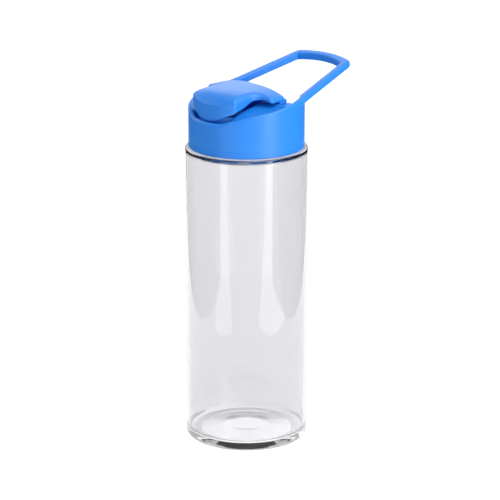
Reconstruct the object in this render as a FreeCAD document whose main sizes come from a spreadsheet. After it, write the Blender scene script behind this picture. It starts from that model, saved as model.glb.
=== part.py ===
"""Sports bottle with a screw cap, a moulded carrying loop and a flip cover over the spout.

Millimetres, +Z up. The origin is the centre of the base on the surface it stands on.
The spout side faces -Y and the carrying loop reaches out to +Y. Left and right are mirror images.
"""
import FreeCAD, Part
import Sketcher
import math
import os
import re

SIZES = {
    # clear bottle
    "body_radius": 36.8,
    "shoulder_height": 181.4,
    "wall": 1.9,
    "base_thickness": 4.6,
    "push_up": 2.0,
    "push_up_radius": 27.0,
    "base_edge": 3.2,
    "shoulder_edge": 2.2,
    "neck_radius": 30.0,
    "neck_bore": 27.6,
    "neck_top": 198.3,
    # screw thread, shared by the neck and the cap
    "thread_lead": 6.0,
    "thread_turns": 1.6,
    "thread_depth": 1.1,
    "thread_crest": 1.0,
    "thread_root": 2.2,
    "thread_start": 186.2,
    # screw cap
    "cap_radius": 34.7,
    "cap_bottom": 181.7,
    "skirt_bore": 31.6,
    "deck_bottom": 199.2,
    "deck_top": 201.0,
    "rim_inner": 32.4,
    "rim_front": 201.8,
    "rim_front_end": -33.6,
    "rim_bend": -24.0,
    "rim_bend_height": 206.7,
    "rim_middle": -10.0,
    "rim_middle_height": 209.3,
    "rim_rear": 16.0,
    "rim_climb": 0.167,
    "rim_bend_round": 24.0,
    "rim_middle_round": 60.0,
    "rear_foot": 32.9,
    "rear_leave": 26.4,
    "rear_round": 14.0,
    # cutting sketches reach this far out, this high and this low, well clear of every piece
    "far_out": 90.0,
    "far_up": 260.0,
    "far_down": 190.0,
    # how far a fused block sinks into the piece that it stands on
    "overlap": 0.5,
    "shelf_inner": 15.3,
    "shelf_front": -27.2,
    "shelf_rear": -0.4,
    "shelf_drop": 0.6,
    "fairing_front": -2.4,
    "fairing_height": 211.6,
    "rib_outer": 30.1,
    "rib_thickness": 1.4,
    "rib_height": 4.6,
    "rib_rear": -24.6,
    "screen_half": 23.0,
    "screen_back": 6.2,
    "screen_thickness": 1.0,
    "screen_height": 9.5,
    "cheek_top": 216.5,
    "band_height": 185.9,
    "band_depth": 0.25,
    # carrying loop: its top leaves the cap at loop_rise and climbs by loop_slope for each millimetre back
    "loop_rise": 209.45,
    "loop_slope": 0.262,
    "loop_depth": 4.5,
    "loop_width": 5.0,
    "loop_leave": 17.5,
    "loop_root_lift": 1.3,
    "loop_taper": 0.2,
    "loop_reach": 65.9,
    "loop_bow": 4.0,
    # hinge
    "hinge_back": 3.5,
    "hinge_height": 207.8,
    "pin_radius": 1.3,
    "pin_length": 8.0,
    "pin_outer": 31.8,
    "shoulder_inner": 27.9,
    "shoulder_outer": 33.2,
    "shoulder_front": -3.4,
    "shoulder_rear": 7.5,
    "shoulder_drop": 0.35,
    "tab_inner": 23.6,
    "tab_outer": 27.5,
    "tab_radius": 2.9,
    # flip cover
    "cover_wall": 1.8,
    "nose_radius": 32.3,
    "nose_half": 17.2,
    "flare_front": -14.0,
    "flare_radius": 7.2,
    "wing_half": 27.6,
    "wing_tip": 2.6,
    "cover_rear": 5.8,
    "cover_foot": 202.0,
    "wing_under": 213.9,
    "cover_round": 2.4,
    "brow_height": 210.6,
    "crown_front": 217.9,
    "crown_rear": 218.9,
    "crown_radius": 12.5,
    "crown_start": -23.0,
    "crown_end": 20.0,
    # the cover's lower edge: foot, jaw, cheek and wing, front to back
    "foot_end": -32.0,
    "jaw_back": -27.0,
    "jaw_rise": 6.0,
    "cheek_back": -19.0,
    "cheek_rise": 8.4,
    "wing_start": -10.5,
    "edge_round": 9.0,
    # drinking spout and the plug that closes it
    "spout_front": 17.0,
    "spout_bore": 4.0,
    "spout_top": 212.4,
    "spout_hole": 6.0,
    "plug_gap": 0.3,
    "plug_radius": 6.0,
    "post_radius": 2.15,
    "plug_top": 215.0,
    # air valve
    "valve_front": 3.0,
    "valve_hole": 1.0,
    "valve_radius": 4.2,
    "air_hole": 0.6,
    "air_circle": 2.6,
}

doc = FreeCAD.newDocument("SportsBottle")


def make_sheet():
    """Keeps the driving dimensions as one named cell each."""
    table = doc.addObject("Spreadsheet::Sheet", "Sizes")
    for row, (alias, value) in enumerate(SIZES.items(), start=1):
        table.set(f"A{row}", alias)
        table.set(f"B{row}", str(value))
        table.setAlias(f"B{row}", alias)
    doc.recompute()
    return table


sheet = make_sheet()


def bound(text):
    """Turns names of cells, as in "neck_top - wall", into an expression that reads the sheet."""
    return re.sub(r"[a-z]\w*\b(?!\()", lambda word: "Sizes." + word.group(0), str(text))


def value(text):
    """The present value of an expression in the sheet's names."""
    return float(sheet.evalExpression(bound(text)))


# ---------------------------------------------------------------- sketch and feature helpers


def new_body(name):
    body = doc.addObject("PartDesign::Body", name)
    body.Label = name
    return body


def new_sketch(body, plane, name, height=None):
    """A sketch on one of the body's own origin planes, lifted along its normal by height."""
    sketch = body.newObject("Sketcher::SketchObject", name)
    support = next(part for part in body.Origin.OriginFeatures if part.Role == plane)
    sketch.AttachmentSupport = (support, [""])
    sketch.MapMode = "FlatFace"
    if height is not None:
        sketch.setExpression("AttachmentOffset.Base.z", bound(height))
    return sketch


def edge_curve(start, end, radius=None):
    """A line, or an arc that bulges to the right of its way for a positive radius, else to the left.

    A sketch counts an arc anticlockwise, so one that runs the other way is made from end to start.
    """
    if radius is None:
        return Part.LineSegment(start, end)
    chord = end - start
    half = chord.Length / 2
    sagitta = abs(radius) - math.sqrt(radius * radius - half * half)
    side = FreeCAD.Vector(chord.y, -chord.x, 0).normalize()
    middle = (start + end) * 0.5 + side * math.copysign(sagitta, radius)
    return Part.Arc(start, middle, end) if radius > 0 else Part.Arc(end, middle, start)


def outline(sketch, corners, arcs=None):
    """Closes the corners, each a pair of expressions, with lines; arcs maps an edge to its radius."""
    arcs = arcs or {}
    places = [FreeCAD.Vector(value(u), value(v), 0) for u, v in corners]
    count = len(corners)
    first = sketch.GeometryCount
    heads, tails = [], []
    for edge, start in enumerate(places):
        end = places[(edge + 1) % count]
        radius = value(arcs[edge]) if edge in arcs else None
        sketch.addGeometry(edge_curve(start, end, radius), False)
        backwards = radius is not None and radius < 0
        heads.append(2 if backwards else 1)
        tails.append(1 if backwards else 2)
    for edge in range(count):
        following = (edge + 1) % count
        joint = Sketcher.Constraint("Coincident", first + edge, tails[edge], first + following, heads[following])
        sketch.addConstraint(joint)
    for edge, (u, v) in enumerate(corners):
        place_point(sketch, first + edge, heads[edge], u, v)
    for edge, radius in arcs.items():
        size = abs(value(radius))
        index = sketch.addConstraint(Sketcher.Constraint("Radius", first + edge, size))
        sketch.setExpression(f"Constraints[{index}]", f"abs({bound(radius)})")


def place_point(sketch, geometry, end, u, v):
    """Binds one end of an edge to its two coordinates."""
    for kind, text in (("DistanceX", u), ("DistanceY", v)):
        index = sketch.addConstraint(Sketcher.Constraint(kind, -1, 1, geometry, end, value(text)))
        sketch.setExpression(f"Constraints[{index}]", bound(text))


def circle(sketch, u, v, radius):
    """A circle whose centre and radius are bound to the sheet."""
    middle = FreeCAD.Vector(value(u), value(v), 0)
    index = sketch.addGeometry(Part.Circle(middle, FreeCAD.Vector(0, 0, 1), value(radius)), False)
    place_point(sketch, index, 3, u, v)
    size = sketch.addConstraint(Sketcher.Constraint("Radius", index, value(radius)))
    sketch.setExpression(f"Constraints[{size}]", bound(radius))


def revolve(body, sketch, name):
    feature = body.newObject("PartDesign::Revolution", name)
    feature.Profile = sketch
    feature.ReferenceAxis = (sketch, ["V_Axis"])
    feature.Angle = 360
    return feature


def extrude(body, kind, sketch, name, length, both_ways=False, reverse=False):
    """A Pad or a Pocket of the given length, one way or to both sides of its sketch."""
    feature = body.newObject(f"PartDesign::{kind}", name)
    feature.Profile = sketch
    feature.setExpression("Length", bound(length))
    feature.SideType = "Symmetric" if both_ways else "One side"
    feature.Reversed = reverse
    doc.recompute()
    return feature


def pocket(body, sketch, name, length, both_ways=False, reverse=False):
    """A Pocket that must take something away."""
    before = body.Shape.Volume
    feature = extrude(body, "Pocket", sketch, name, length, both_ways, reverse)
    if not body.Shape.Volume < before - 1e-3:
        raise RuntimeError(f"{name} cuts nothing")
    return feature


def edges_where(shape, test):
    """Names of the edges whose bounding box passes the test."""
    return [f"Edge{i}" for i, edge in enumerate(shape.Edges, start=1) if test(edge)]


def round_edges(body, name, radius, test):
    """Rounds every edge of the body's present shape that passes the test."""
    doc.recompute()
    base = body.Tip
    names = edges_where(base.Shape, test)
    if not names:
        raise RuntimeError(f"{name} finds no edge")
    feature = body.newObject("PartDesign::Fillet", name)
    feature.Base = (base, names)
    feature.setExpression("Radius", bound(radius))
    doc.recompute()
    return feature


def ring_edge(radius, height):
    """A test for the full circle of that radius about Z at that height."""
    def test(edge):
        box = edge.BoundBox
        level = abs(box.ZMin - value(height)) < 0.01 and abs(box.ZMax - value(height)) < 0.01
        return level and abs(box.XMax - value(radius)) < 0.01 and abs(box.XMin + value(radius)) < 0.01
    return test


def thread(body, name, wall, outward, start, turns):
    """A helical rib on a round wall. Its section is a trapezium, wider where it meets the wall."""
    sketch = new_sketch(body, "XZ_Plane", name + "_section")
    sign = "+" if outward else "-"
    back = "-" if outward else "+"
    corners = [
        (f"{wall} {back} 0.2", f"{start} - thread_root / 2"),
        (f"{wall} {sign} thread_depth", f"{start} - thread_crest / 2"),
        (f"{wall} {sign} thread_depth", f"{start} + thread_crest / 2"),
        (f"{wall} {back} 0.2", f"{start} + thread_root / 2"),
    ]
    outline(sketch, corners)
    rib = body.newObject("PartDesign::AdditiveHelix", name)
    rib.Profile = sketch
    rib.ReferenceAxis = (sketch, ["V_Axis"])
    rib.Mode = "pitch-turns-angle"
    rib.setExpression("Pitch", bound("thread_lead"))
    rib.setExpression("Turns", bound(turns))
    doc.recompute()
    return rib


# ---------------------------------------------------------------- clear bottle


def make_bottle():
    """A straight clear cylinder with a thick pushed-up base and a narrower threaded neck."""
    body = new_body("bottle_body")
    section = new_sketch(body, "XZ_Plane", "bottle_section")
    corners = [
        ("0", "push_up"),
        ("push_up_radius", "0"),
        ("body_radius", "0"),
        ("body_radius", "shoulder_height"),
        ("neck_radius", "shoulder_height"),
        ("neck_radius", "neck_top"),
        ("neck_bore", "neck_top"),
        ("neck_bore", "shoulder_height - wall"),
        ("body_radius - wall", "shoulder_height - 1.2 * wall"),
        ("body_radius - wall", "base_thickness"),
        ("push_up_radius", "base_thickness"),
        ("0", "base_thickness + 0.8 * push_up"),
    ]
    outline(section, corners)
    revolve(body, section, "bottle_turned")
    round_edges(body, "base_corner", "base_edge", ring_edge("body_radius", "0"))
    round_edges(body, "shoulder_corner", "shoulder_edge", ring_edge("body_radius", "shoulder_height"))
    round_edges(body, "floor_corner", "base_edge", ring_edge("body_radius - wall", "base_thickness"))
    round_edges(body, "lip", "wall / 3", ring_edge("neck_radius", "neck_top"))
    thread(body, "neck_thread", "neck_radius", True, "thread_start", "thread_turns")
    return body


# ---------------------------------------------------------------- screw cap with its carrying loop


def loop_top(back):
    """Height of the loop's top face at a distance behind the axis, as an expression."""
    return f"loop_rise + loop_slope * ({back})"


def loop_outline(sketch):
    """The loop from above: two arms that close in towards a bowed end bar."""
    tangent = "cap_radius / sqrt(1 + loop_taper * loop_taper)"
    root_y = f"{tangent} * loop_taper"
    end_x = f"{tangent} - loop_taper * (loop_reach - {root_y})"
    inner_x = f"{tangent} - loop_taper * (loop_leave - {root_y}) - loop_width"
    inner_end_x = f"{tangent} - loop_taper * (loop_reach - loop_width - {root_y}) - loop_width"
    corners = [
        (tangent, root_y),
        (end_x, "loop_reach"),
        (f"-({end_x})", "loop_reach"),
        (f"-({tangent})", root_y),
        (f"-({inner_x})", "loop_leave"),
        (f"-({inner_end_x})", "loop_reach - loop_width"),
        (inner_end_x, "loop_reach - loop_width"),
        (inner_x, "loop_leave"),
    ]
    bow = "(({0}) * ({0}) + loop_bow * loop_bow) / (2 * loop_bow)"
    arcs = {1: bow.format(end_x), 5: f"-({bow.format(inner_end_x)})"}
    outline(sketch, corners, arcs)


def add_loop(body):
    """Pads the loop's outline and cuts away what lies below its sloping underside."""
    plan = new_sketch(body, "XY_Plane", "loop_plan", "deck_top + 4 * overlap")
    loop_outline(plan)
    extrude(body, "Pad", plan, "loop_pad", "far_up - loop_rise")
    below = new_sketch(body, "YZ_Plane", "loop_underside")
    corners = [
        ("0", "deck_top"),
        ("far_out", "deck_top"),
        ("far_out", f"{loop_top('far_out')} - loop_depth"),
        ("0", f"{loop_top('0')} - loop_depth + loop_root_lift"),
    ]
    outline(below, corners)
    pocket(body, below, "loop_undercut", "4 * cap_radius", both_ways=True)


def add_turned_cap(body):
    """The skirt, the deck and a tall ring that the cheeks are cut from."""
    section = new_sketch(body, "XZ_Plane", "cap_section")
    corners = [
        ("0", "deck_bottom"),
        ("skirt_bore", "deck_bottom"),
        ("skirt_bore", "cap_bottom"),
        ("cap_radius", "cap_bottom"),
        ("cap_radius", "band_height - 0.3"),
        ("cap_radius - band_depth", "band_height"),
        ("cap_radius", "band_height + 0.3"),
        ("cap_radius", "cheek_top"),
        ("rim_inner", "cheek_top"),
        ("rim_inner", "deck_top"),
        ("0", "deck_top"),
    ]
    outline(section, corners)
    revolve(body, section, "cap_turned")
    doc.recompute()


def rim_line(back):
    """Height of the rim's straight climb, from its middle to where the loop leaves it."""
    return f"rim_middle_height + rim_climb * ({back} - rim_middle)"


def add_shoulders(body):
    """The cheeks widen inwards to two shoulders, which follow the rim and hold the hinge pins."""
    foot = "deck_top - overlap"
    side = new_sketch(body, "YZ_Plane", "shoulder_side")
    corners = [
        ("shoulder_front", foot),
        ("shoulder_rear", foot),
        ("shoulder_rear", rim_line("shoulder_rear") + " - shoulder_drop"),
        ("shoulder_front", rim_line("shoulder_front") + " - shoulder_drop"),
    ]
    outline(side, corners)
    extrude(body, "Pad", side, "shoulder_bar", "2 * shoulder_outer", both_ways=True)
    gap = new_sketch(body, "YZ_Plane", "shoulder_gap_side")
    corners = [
        ("shoulder_front - 1", "deck_top"),
        ("shoulder_rear + 1", "deck_top"),
        ("shoulder_rear + 1", "cheek_top"),
        ("shoulder_front - 1", "cheek_top"),
    ]
    outline(gap, corners)
    pocket(body, gap, "shoulder_gap", "2 * shoulder_inner", both_ways=True)


def make_shelves():
    """Beside the nose the deck steps up to a shelf that follows the rim and ends in a fairing by the tabs."""
    foot = "deck_top - overlap"
    reach = "rim_inner + 0.3"
    body = new_body("shelf_bar")
    side = new_sketch(body, "YZ_Plane", "shelf_side")
    corners = [
        ("shelf_front", foot),
        ("shelf_rear", foot),
        ("shelf_rear", "fairing_height"),
        ("fairing_front", "fairing_height"),
        ("fairing_front - 2", rim_line("fairing_front - 2") + " - shelf_drop"),
        ("rim_middle", "rim_middle_height - shelf_drop"),
        ("rim_bend", "rim_bend_height - shelf_drop"),
        ("shelf_front", "rim_bend_height - 3 * shelf_drop"),
    ]
    outline(side, corners)
    extrude(body, "Pad", side, "shelf_pad", "2 * (rim_inner + 1)", both_ways=True)
    disc = cylinder("shelf_disc", reach, "cheek_top - deck_top", ("0", "0", foot))
    inside_ring = boolean("Common", "shelf_in_ring", body, disc)
    well_size = ("2 * shelf_inner", "2 * rim_inner", "cheek_top - deck_top + 2")
    well = block("shelf_well", well_size, ("-shelf_inner", "-rim_inner", "deck_top - 1"))
    return boolean("Cut", "shelves", inside_ring, well)


def make_locating_rib():
    """A low curved rib on the deck, just inside the cover's nose."""
    foot = "deck_top - overlap"
    height = "rib_height + overlap"
    disc = cylinder("rib_disc", "rib_outer", height, ("0", "0", foot))
    bore = cylinder("rib_bore", "rib_outer - rib_thickness", height, ("0", "0", foot))
    full_ring = boolean("Cut", "rib_ring", disc, bore)
    behind = block("rib_behind", ("3 * rib_outer", "3 * rib_outer", height), ("-1.5 * rib_outer", "rib_rear", foot))
    return boolean("Cut", "rib_front", full_ring, behind)


def cut_cheek_profile(body):
    """Seen from the side, the rim is low in front, climbs in a curve and runs on into the loop."""
    above = new_sketch(body, "YZ_Plane", "cheek_profile")
    corners = [
        ("-far_out", "rim_front"),
        ("rim_front_end", "rim_front"),
        ("rim_bend", "rim_bend_height"),
        ("rim_middle", "rim_middle_height"),
        ("rim_rear", loop_top("rim_rear")),
        ("far_out", loop_top("far_out")),
        ("far_out", "far_up"),
        ("-far_out", "far_up"),
    ]
    outline(above, corners, {1: "-rim_bend_round", 2: "-rim_middle_round"})
    pocket(body, above, "cheek_cut", "4 * cap_radius", both_ways=True)
    behind = new_sketch(body, "YZ_Plane", "rear_profile")
    corners = [
        ("rear_foot", "rim_front"),
        ("far_out", "rim_front"),
        ("far_out", f"{loop_top('far_out')} - loop_depth"),
        ("rear_leave", f"{loop_top('rear_leave')} - loop_depth"),
    ]
    outline(behind, corners, {3: "-rear_round"})
    pocket(body, behind, "rear_cut", "4 * cap_radius", both_ways=True)


def drill_cap(body):
    """Blind pin holes in the shoulders, the spout's hole and the air valve's holes in the deck."""
    pins = new_sketch(body, "YZ_Plane", "pin_holes_side")
    circle(pins, "hinge_back", "hinge_height", "pin_radius + 0.01")
    pocket(body, pins, "pin_holes", "2 * pin_outer + 0.4", both_ways=True)
    holes = new_sketch(body, "XY_Plane", "deck_holes_plan", "deck_top + 1")
    circle(holes, "0", "-spout_front", "spout_hole + 0.05")
    circle(holes, "0", "-valve_front", "valve_hole")
    for turn in range(3):
        angle = 90 + 120 * turn
        circle(holes, f"air_circle * cos({angle})", f"-valve_front + air_circle * sin({angle})", "air_hole")
    pocket(body, holes, "deck_holes", "deck_top - deck_bottom + 2")


def make_cap():
    body = new_body("cap_moulding")
    add_loop(body)
    add_turned_cap(body)
    cut_cheek_profile(body)
    add_shoulders(body)
    drill_cap(body)
    thread(body, "cap_thread", "skirt_bore", False, "thread_start - thread_crest - 1.5", "thread_turns")
    with_shelves = boolean("Fuse", "cap_with_shelves", body, make_shelves())
    with_rib = boolean("Fuse", "cap_with_rib", with_shelves, make_locating_rib())
    screen_size = ("2 * screen_half", "screen_thickness", "screen_height + overlap")
    screen = block("rear_screen", screen_size, ("-screen_half", "screen_back", "deck_top - overlap"))
    return boolean("Fuse", "screw_cap", with_rib, screen)


# ---------------------------------------------------------------- flip cover


def cover_outline(sketch, inset):
    """The cover from above, set in by inset: a nose over the spout and two wings over the hinge."""
    side = f"nose_half - {inset}"
    nose_y = f"-sqrt((nose_radius - {inset}) * (nose_radius - {inset}) - ({side}) * ({side}))"
    flare = f"flare_radius + {inset}"
    tip = f"wing_tip - {inset}"
    end = f"wing_half - {inset}"
    front_y = f"flare_front + flare_radius + {inset}"
    rear_y = f"cover_rear - {inset}"
    right = [
        (side, nose_y),
        (side, "flare_front"),
        ("nose_half + flare_radius", front_y),
        (f"{end} - ({tip})", front_y),
        (end, f"{front_y} + {tip}"),
        (end, f"{rear_y} - ({tip})"),
        (f"{end} - ({tip})", rear_y),
    ]
    left = [(f"-({u})", v) for u, v in reversed(right)]
    arcs = {1: f"-({flare})", 3: tip, 5: tip, 7: tip, 9: tip, 11: f"-({flare})", 13: f"nose_radius - {inset}"}
    outline(sketch, right + left, arcs)


def cover_block(name, inset):
    """A solid of the cover's outline under its crowned top, both set in by inset."""
    body = new_body(name)
    plan = new_sketch(body, "XY_Plane", name + "_plan", "deck_top")
    cover_outline(plan, inset)
    extrude(body, "Pad", plan, name + "_pad", "24")
    above = new_sketch(body, "YZ_Plane", name + "_top")
    corners = [
        ("-far_out", f"brow_height - {inset}"),
        (f"-nose_radius - 0.3 + {inset}", f"brow_height - {inset}"),
        (f"crown_start + {inset} / 2", f"crown_front - {inset}"),
        ("crown_end", f"crown_rear - {inset}"),
        ("crown_end", "far_up"),
        ("-far_out", "far_up"),
    ]
    outline(above, corners, {1: f"-(crown_radius - {inset})"})
    pocket(body, above, name + "_crown", "4 * cap_radius", both_ways=True)
    return body


def undercut_cover(body):
    """From the side, the lower edge stands on the rim in front and climbs in an S to the wings."""
    below = new_sketch(body, "YZ_Plane", "cover_underside")
    corners = [
        ("-far_out", "cover_foot"),
        ("foot_end", "cover_foot"),
        ("jaw_back", "cover_foot + jaw_rise"),
        ("cheek_back", "cover_foot + cheek_rise"),
        ("wing_start", "wing_under"),
        ("far_out", "wing_under"),
        ("far_out", "far_down"),
        ("-far_out", "far_down"),
    ]
    outline(below, corners, {1: "-edge_round", 3: "-edge_round"})
    pocket(body, below, "cover_foot_cut", "4 * cap_radius", both_ways=True)


def round_nose(body):
    """Rounds the two upright corners of the nose."""
    nose_y = value("sqrt(nose_radius * nose_radius - nose_half * nose_half)")

    def nose_corner(edge):
        box = edge.BoundBox
        return box.ZLength > 3 and abs(box.YMin + nose_y) < 0.01 and box.YLength < 0.01

    round_edges(body, "nose_round", "cover_round", nose_corner)


def boolean(kind, name, base, tool):
    """A Part::Cut or Part::Fuse of two earlier objects."""
    result = doc.addObject(f"Part::{kind}", name)
    result.Base = base
    result.Tool = tool
    result.Label = name
    doc.recompute()
    return result


def cylinder(name, radius, length, place, along_x=False):
    """A Part::Cylinder from place, upright or along +X, all bound to the sheet."""
    rod = doc.addObject("Part::Cylinder", name)
    rod.setExpression("Radius", bound(radius))
    rod.setExpression("Height", bound(length))
    if along_x:
        rod.Placement = FreeCAD.Placement(FreeCAD.Vector(), FreeCAD.Rotation(FreeCAD.Vector(0, 1, 0), 90))
    bind_place(rod, place)
    return rod


def block(name, lengths, place):
    """A Part::Box from place, bound to the sheet."""
    box = doc.addObject("Part::Box", name)
    for side, text in zip(("Length", "Width", "Height"), lengths):
        box.setExpression(side, bound(text))
    bind_place(box, place)
    return box


def bind_place(thing, place):
    for axis, text in zip("xyz", place):
        thing.setExpression(f"Placement.Base.{axis}", bound(text))


def make_tab(side, start_x):
    """A hinge tab below a wing, round about the hinge line."""
    back = "hinge_back - tab_radius"
    thick = "tab_outer - tab_inner"
    rise = "wing_under + 2 - hinge_height"
    stem = block(f"tab_stem_{side}", (thick, "2 * tab_radius", rise), (start_x, back, "hinge_height"))
    eye_place = (start_x, "hinge_back", "hinge_height")
    eye = cylinder(f"tab_eye_{side}", "tab_radius", thick, eye_place, along_x=True)
    return boolean("Fuse", f"tab_{side}", stem, eye)


def make_cover():
    """A thin shell: the outer block less the inner one, with hinge tabs and a post for the plug."""
    outer = cover_block("cover_outer", "0")
    undercut_cover(outer)
    round_nose(outer)
    inner = cover_block("cover_inner", "cover_wall")
    solid = boolean("Cut", "cover_shell", outer, inner)
    for side, start_x in (("left", "-tab_outer"), ("right", "tab_inner")):
        solid = boolean("Fuse", f"cover_with_{side}_tab", solid, make_tab(side, start_x))
    spout_y = "-spout_front"
    boss = cylinder("plug_boss", "plug_radius - 1", "crown_front - plug_top", ("0", spout_y, "plug_top - 0.6"))
    solid = boolean("Fuse", "cover_with_boss", solid, boss)
    post = cylinder("plug_post", "post_radius", "3", ("0", spout_y, "plug_top - 1.2"))
    solid = boolean("Fuse", "cover_with_post", solid, post)
    hole_start = ("-pin_outer", "hinge_back", "hinge_height")
    hole = cylinder("tab_holes", "pin_radius + 0.06", "2 * pin_outer", hole_start, along_x=True)
    return boolean("Cut", "flip_cover", solid, hole)


# ---------------------------------------------------------------- small parts


def turned(name, corners, front="0", arcs=None):
    """A body of revolution about a vertical line at a distance in front of the bottle's axis."""
    body = new_body(name)
    section = new_sketch(body, "XZ_Plane", name + "_section")
    outline(section, corners, arcs)
    revolve(body, section, name + "_turned")
    body.setExpression("Placement.Base.y", bound(f"-({front})"))
    return body


def make_pins():
    """Two short pins, pressed into the shoulders and free in the cover's tabs."""
    for side, start_x in (("left", "-pin_outer"), ("right", "pin_outer - pin_length")):
        name = f"hinge_pin_{side}"
        pin = cylinder(name, "pin_radius", "pin_length", (start_x, "hinge_back", "hinge_height"), along_x=True)
        pin.Label = name


def make_gasket():
    """A flat silicone ring between the neck's lip and the cap's deck."""
    corners = [
        ("neck_bore + 0.3", "neck_top + 0.1"),
        ("neck_radius - 0.2", "neck_top + 0.1"),
        ("neck_radius - 0.2", "deck_bottom - 0.1"),
        ("neck_bore + 0.3", "deck_bottom - 0.1"),
    ]
    return turned("neck_gasket", corners)


def make_spout():
    """A soft drinking spout that snaps into the deck, with a flange above it and a bead below."""
    corners = [
        ("spout_bore", "deck_bottom - 2.2"),
        ("spout_hole + 0.3", "deck_bottom - 2.2"),
        ("spout_hole + 1.2", "deck_bottom - 0.05"),
        ("spout_hole", "deck_bottom - 0.05"),
        ("spout_hole", "deck_top + 0.05"),
        ("spout_hole + 2.6", "deck_top + 0.05"),
        ("spout_hole + 2.6", "deck_top + 1.2"),
        ("spout_hole + 0.9", "deck_top + 2"),
        ("spout_hole - 0.2", "spout_top - 1"),
        ("spout_hole - 1", "spout_top"),
        ("spout_bore", "spout_top"),
    ]
    return turned("drinking_spout", corners, "spout_front", {8: "1.1"})


def make_plug():
    """The silicone plug on the cover's post: a flange on the spout's lip and a dome in its bore."""
    corners = [
        ("0", "spout_top - 1"),
        ("spout_bore - 1.2", "spout_top - 1"),
        ("spout_bore - 0.4", "spout_top + plug_gap"),
        ("plug_radius", "spout_top + plug_gap"),
        ("plug_radius", "plug_top - 0.65"),
        ("post_radius + 0.05", "plug_top - 0.65"),
        ("post_radius + 0.05", "plug_top - 1.25"),
        ("0", "plug_top - 1.25"),
    ]
    return turned("spout_plug", corners, "spout_front")


def make_valve():
    """The mushroom air valve: its cap hangs under the deck's air holes and a bead holds it above."""
    corners = [
        ("0", "deck_bottom - 1"),
        ("1", "deck_bottom - 1"),
        ("valve_radius", "deck_bottom - 0.6"),
        ("valve_radius", "deck_bottom - 0.05"),
        ("valve_hole - 0.05", "deck_bottom - 0.05"),
        ("valve_hole - 0.05", "deck_top + 0.05"),
        ("valve_hole + 0.5", "deck_top + 0.05"),
        ("valve_hole * 0.4", "deck_top + 1.6"),
        ("0", "deck_top + 1.6"),
    ]
    return turned("vent_valve", corners, "valve_front")


# ---------------------------------------------------------------- build, check and write

NODES = (
    "bottle_body",
    "screw_cap",
    "neck_gasket",
    "flip_cover",
    "hinge_pin_left",
    "hinge_pin_right",
    "drinking_spout",
    "spout_plug",
    "vent_valve",
)


def check_document():
    """Stops if any object failed, or any sub-part isn't a valid closed solid."""
    for thing in doc.Objects:
        if "Invalid" in thing.State or "Error" in thing.State:
            raise RuntimeError(f"{thing.Name} failed: {thing.State}")
    for name in NODES:
        shape = doc.getObject(name).Shape
        if shape.isNull() or not shape.isValid() or not shape.Solids:
            raise RuntimeError(f"{name} isn't a valid solid")


def write_parts():
    os.makedirs("parts", exist_ok=True)
    for name in NODES:
        thing = doc.getObject(name)
        thing.Shape.exportStep(f"parts/{thing.Label}.step")
        print(thing.Label, len(thing.Shape.Solids), round(thing.Shape.Volume))


def main():
    make_bottle()
    make_cap()
    make_gasket()
    make_cover()
    make_pins()
    make_spout()
    make_plug()
    make_valve()
    doc.recompute()
    check_document()
    write_parts()


main()
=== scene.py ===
import bpy
import bmesh
import math
import numpy as np
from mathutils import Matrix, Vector


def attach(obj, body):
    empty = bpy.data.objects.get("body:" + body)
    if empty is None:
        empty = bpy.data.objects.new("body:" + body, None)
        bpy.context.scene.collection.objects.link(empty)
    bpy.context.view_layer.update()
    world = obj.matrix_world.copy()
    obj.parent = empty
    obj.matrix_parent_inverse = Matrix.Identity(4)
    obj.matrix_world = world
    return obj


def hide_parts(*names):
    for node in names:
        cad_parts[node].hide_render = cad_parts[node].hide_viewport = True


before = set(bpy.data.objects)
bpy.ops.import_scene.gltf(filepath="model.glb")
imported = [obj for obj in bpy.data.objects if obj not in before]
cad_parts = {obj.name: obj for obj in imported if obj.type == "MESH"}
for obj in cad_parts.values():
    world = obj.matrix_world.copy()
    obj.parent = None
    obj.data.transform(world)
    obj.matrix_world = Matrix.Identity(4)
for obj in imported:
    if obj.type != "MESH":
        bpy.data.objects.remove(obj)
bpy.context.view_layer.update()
mm = 0.001
poleRadius = 0.01
mergeDistance = 1e-7


# A grid of points, rows by columns, becomes a closed skin. Columns always join round; rows join too when
# wrapRows is set, and otherwise the first and last rows are drawn together at a single pole.
def gridSkin(name, grid, wrapRows=False, sharpDegrees=38):
    rows, cols = grid.shape[:2]
    points = grid.reshape(-1, 3)
    down = np.arange(rows if wrapRows else rows - 1)[:, None]
    across = np.arange(cols)[None, :]
    below = (down + 1) % rows
    right = (across + 1) % cols
    corners = [down * cols + across, down * cols + right, below * cols + right, below * cols + across]
    quads = np.stack([np.broadcast_to(c, (len(down), cols)) for c in corners], -1).reshape(-1, 4)
    faces = quads.tolist()
    if not wrapRows:
        faces.append(np.arange(cols)[::-1].tolist())
        faces.append((np.arange(cols) + (rows - 1) * cols).tolist())
    mesh = bpy.data.meshes.new(name)
    mesh.from_pydata((points * mm).tolist(), [], faces)
    work = bmesh.new()
    work.from_mesh(mesh)
    bmesh.ops.remove_doubles(work, verts=work.verts, dist=mergeDistance)
    bmesh.ops.recalc_face_normals(work, faces=work.faces)
    work.to_mesh(mesh)
    work.free()
    mesh.shade_smooth()
    mesh.set_sharp_from_angle(angle=math.radians(sharpDegrees))
    piece = bpy.data.objects.new(name, mesh)
    bpy.context.scene.collection.objects.link(piece)
    return piece


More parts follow.
